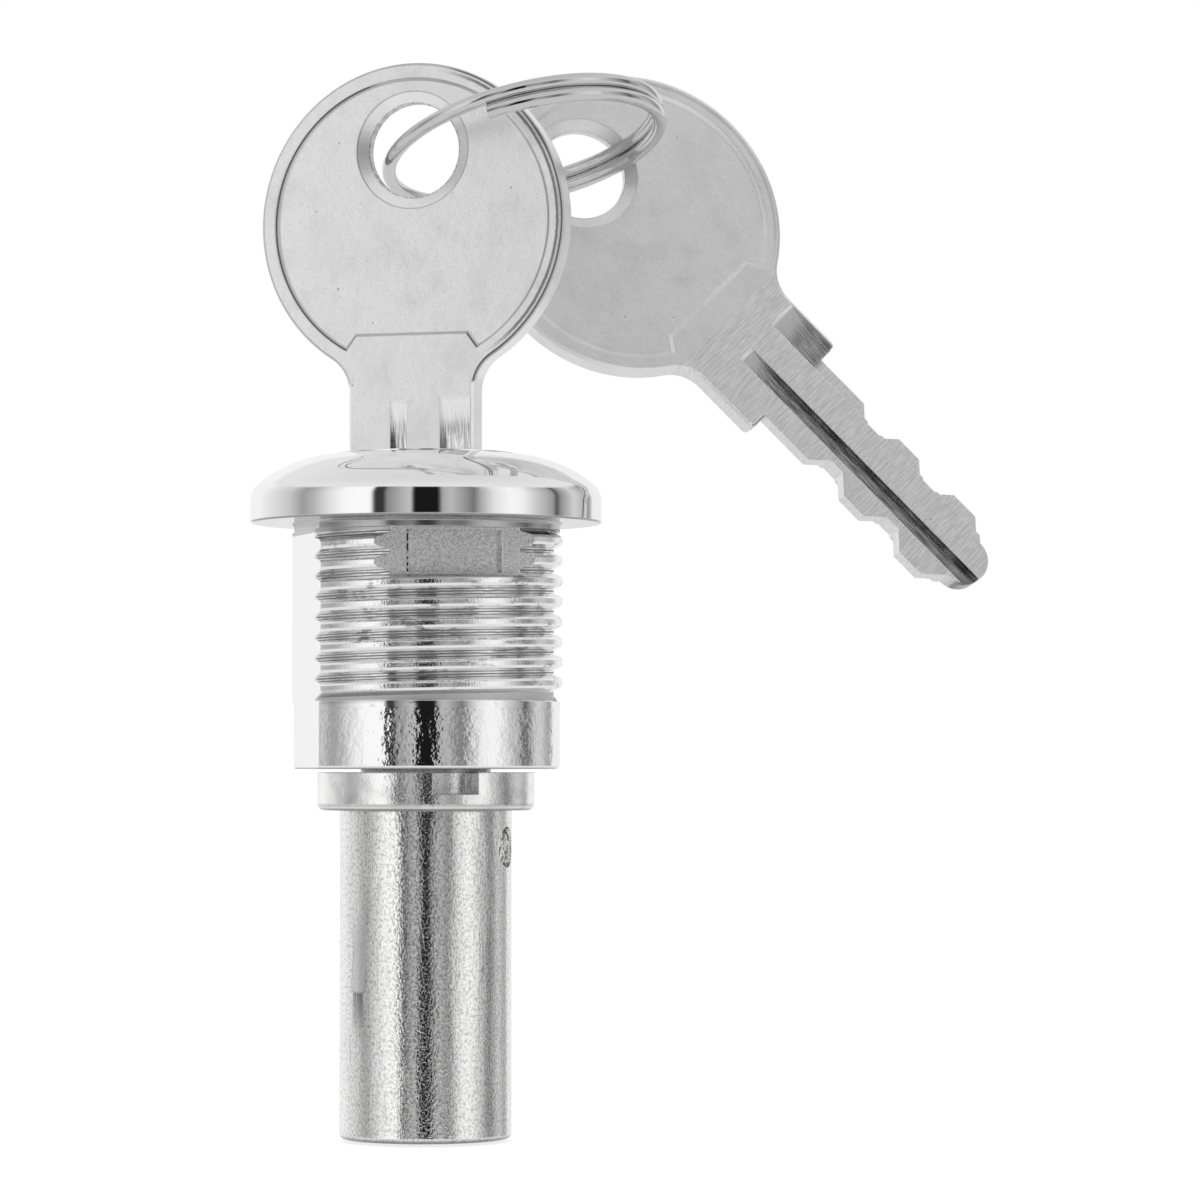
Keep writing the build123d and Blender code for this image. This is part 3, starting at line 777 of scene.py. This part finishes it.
def key_satin(bench, tone, blade_tone, milled_tone, grain_top, painted_shade_strength, glint):
    """Satin nickel: levels for bow, blade and grooves, the grain's upper end, and how strong the painted
    shade and painted highlight are.
    """
    u, v, w, own = bench.u, bench.v, bench.w, bench.own
    fine = bench.noise(0.12, place=own, detail=2.5, rough=0.7)
    bench.bump(fine, 0.008)
    bench.bump(bench.noise(0.6, place=own, detail=2.0), 0.010)
    blade = bench.below(v, grain_top - 0.4, grain_top)
    rolled = bench.noise(0.12, place=bench.joined(bench.times(u, 0.08), v, w), detail=2.0)
    bench.bump(bench.times(rolled, blade), 0.008)
    milled = bench.milled()
    streak = bench.noise(0.10, place=bench.joined(u, bench.times(v, 0.05), 4.0), detail=2.0)
    bench.bump(bench.times(streak, milled), 0.006)
    nicks = put(add(bench.tree, "ShaderNodeTexVoronoi", feature="F1"), Scale=1 / NICK_SPACING)
    feed(bench.tree, own, nicks, "Vector")
    nick = bench.below(nicks.outputs["Distance"], 0.02, 0.05)
    bench.bump(nick, -0.02)
    stain = bench.noise(2.4, place=own, detail=4.0)
    colour = bench.blend(bench.between(stain, 0.4, 0.8), tone, tone * 0.9)
    colour = bench.blend(bench.between(fine, 0.54, 0.74, 0.0, 0.4), colour, tone * 0.5)
    # Painted shade on the sloped step and in dark lines round the hole and the rolled edge; a painted
    # highlight on the step.
    step, shaded = bench.coined_step()
    shaded = bench.math("MAXIMUM", shaded, bench.shaded_edge_lines())
    colour = bench.marked(colour, shaded, painted_shade_strength, 0.06)
    colour = bench.marked(colour, step, glint, 1.0)
    colour = bench.blend(blade, colour, bench.between(rolled, 0.35, 0.65, blade_tone * 0.8, blade_tone))
    # Streaks darken the milled groove, more towards its lower end.
    streaked_part = bench.times(bench.between(streak, 0.35, 0.65, 0.62, 0.0), bench.between(v, 2.0, 3.6, 1.0, 0.15))
    colour = bench.blend(milled, colour, bench.times(bench.minus(1.0, streaked_part), milled_tone))
    colour = bench.marked(colour, nick, 0.7, 0.15)
    rough = bench.math("MULTIPLY_ADD", fine, 0.10, 0.28)
    return bench.finish(colour, bench.minus(rough, bench.times(milled, 0.14)))


print("nicks are about", NICK_SPACING, "mm apart")

# %% [markdown]
# ## Where the two keys lie
# The standing key's place comes from the keyway, which is turned a little round the lock's axis. The
# hanging key's place comes from its hole, from the angle of its blade and from how it leans back.

# %% Place and dress the two keys
KEYWAY_TURN = math.radians(-34.5)
KEYWAY_SHIFT = -0.84
SHOULDER_HEIGHT = 4.65
SPARE_HOLE = (11.75, 11.5, 27.35)
SPARE_ANGLE = math.radians(-45)
SPARE_LEAN = math.radians(17)
SPARE_TILT = math.radians(1)


def seen_place(across, back, up):
    """A place given across, back and up as the camera sees it."""
    return right * across + ahead * back + Vector((0, 0, up))


def hanging_frame():
    """The hanging key's shoulder, and its directions across and along."""
    along = seen_place(-math.cos(SPARE_ANGLE), 0, -math.sin(SPARE_ANGLE))
    level = seen_place(-math.sin(SPARE_ANGLE), 0, math.cos(SPARE_ANGLE))
    across = level * math.cos(SPARE_LEAN) + ahead * math.sin(SPARE_LEAN)
    facing = across.cross(along)
    along = along * math.cos(SPARE_TILT) + facing * math.sin(SPARE_TILT)
    return seen_place(*SPARE_HOLE) - along * HOLE_RISE, across, along


width_way = Vector((math.cos(KEYWAY_TURN), math.sin(KEYWAY_TURN), 0))
standing_start = width_way * KEYWAY_SHIFT + Vector((0, 0, SHOULDER_HEIGHT))
standing_satin = key_satin(
    KeyBench("standing_key_satin", standing_start, width_way, Vector((0, 0, 1))),
    tone=1.0, blade_tone=0.9, milled_tone=1.0, grain_top=0.3, painted_shade_strength=1.0, glint=0.0,
)
# The hanging key's darker bow and milled grooves are painted shade, and its step gets a painted highlight.
hanging_satin = key_satin(
    KeyBench("hanging_key_satin", *hanging_frame()),
    tone=0.88, blade_tone=0.92, milled_tone=0.50, grain_top=7.6, painted_shade_strength=0.3, glint=0.5,
)
print("made:", standing_satin.name, hanging_satin.name)

# %% [markdown]
# ## The split ring, the wafers and their springs
# The ring is polished spring wire. The wafers are stamped brass and can only be seen when the lock is
# taken apart, with a small steel spring beside each.

# %% Ring, wafer and spring finishes
RING_STEEL = (0.66, 0.66, 0.66)
SPRING_STEEL = (0.62, 0.62, 0.64)
BRASS = (0.80, 0.60, 0.30)


def drawn_wire(name, colour, roughness):
    """Polished wire with faint drawing marks."""
    bench = Bench(name, corner=0.00005)
    bench.bump(bench.noise(0.25, detail=2.0), 0.004)
    return bench.finish(colour, roughness)


def stamped_brass():
    """Brass sheet with a rolled grain."""
    bench = Bench("stamped_brass")
    bench.bump(bench.noise(0.15, place=bench.stretched(0.2, 1, 1), detail=2.0), 0.01)
    return bench.finish(BRASS, 0.25)


ring_wire = drawn_wire("ring_wire", RING_STEEL, 0.12)
spring_wire = drawn_wire("spring_wire", SPRING_STEEL, 0.2)
brass = stamped_brass()
print("made:", ring_wire.name, spring_wire.name, brass.name)

# %% [markdown]
# ## Dress the parts
# Each solid part gets its finish. Parts that come in numbers, the wafers and springs, are dressed in
# a loop.

# %% Give every part its finish
FINISHES = {
    "housing": casting,
    "plug": plug_chrome,
    "stop_collar": collar_plate,
    "drive_tube": tube_plate,
    "cross_pin": pin_plate,
    "key": standing_satin,
    "spare_key": hanging_satin,
    "split_ring": ring_wire,
}
for name, solid in solids.items():
    if name.startswith("wafer_spring"):
        finish = spring_wire
    elif name.startswith("wafer"):
        finish = brass
    else:
        finish = FINISHES[name]
    solid.data.materials.clear()
    solid.data.materials.append(finish)
print("dressed:", len(solids))
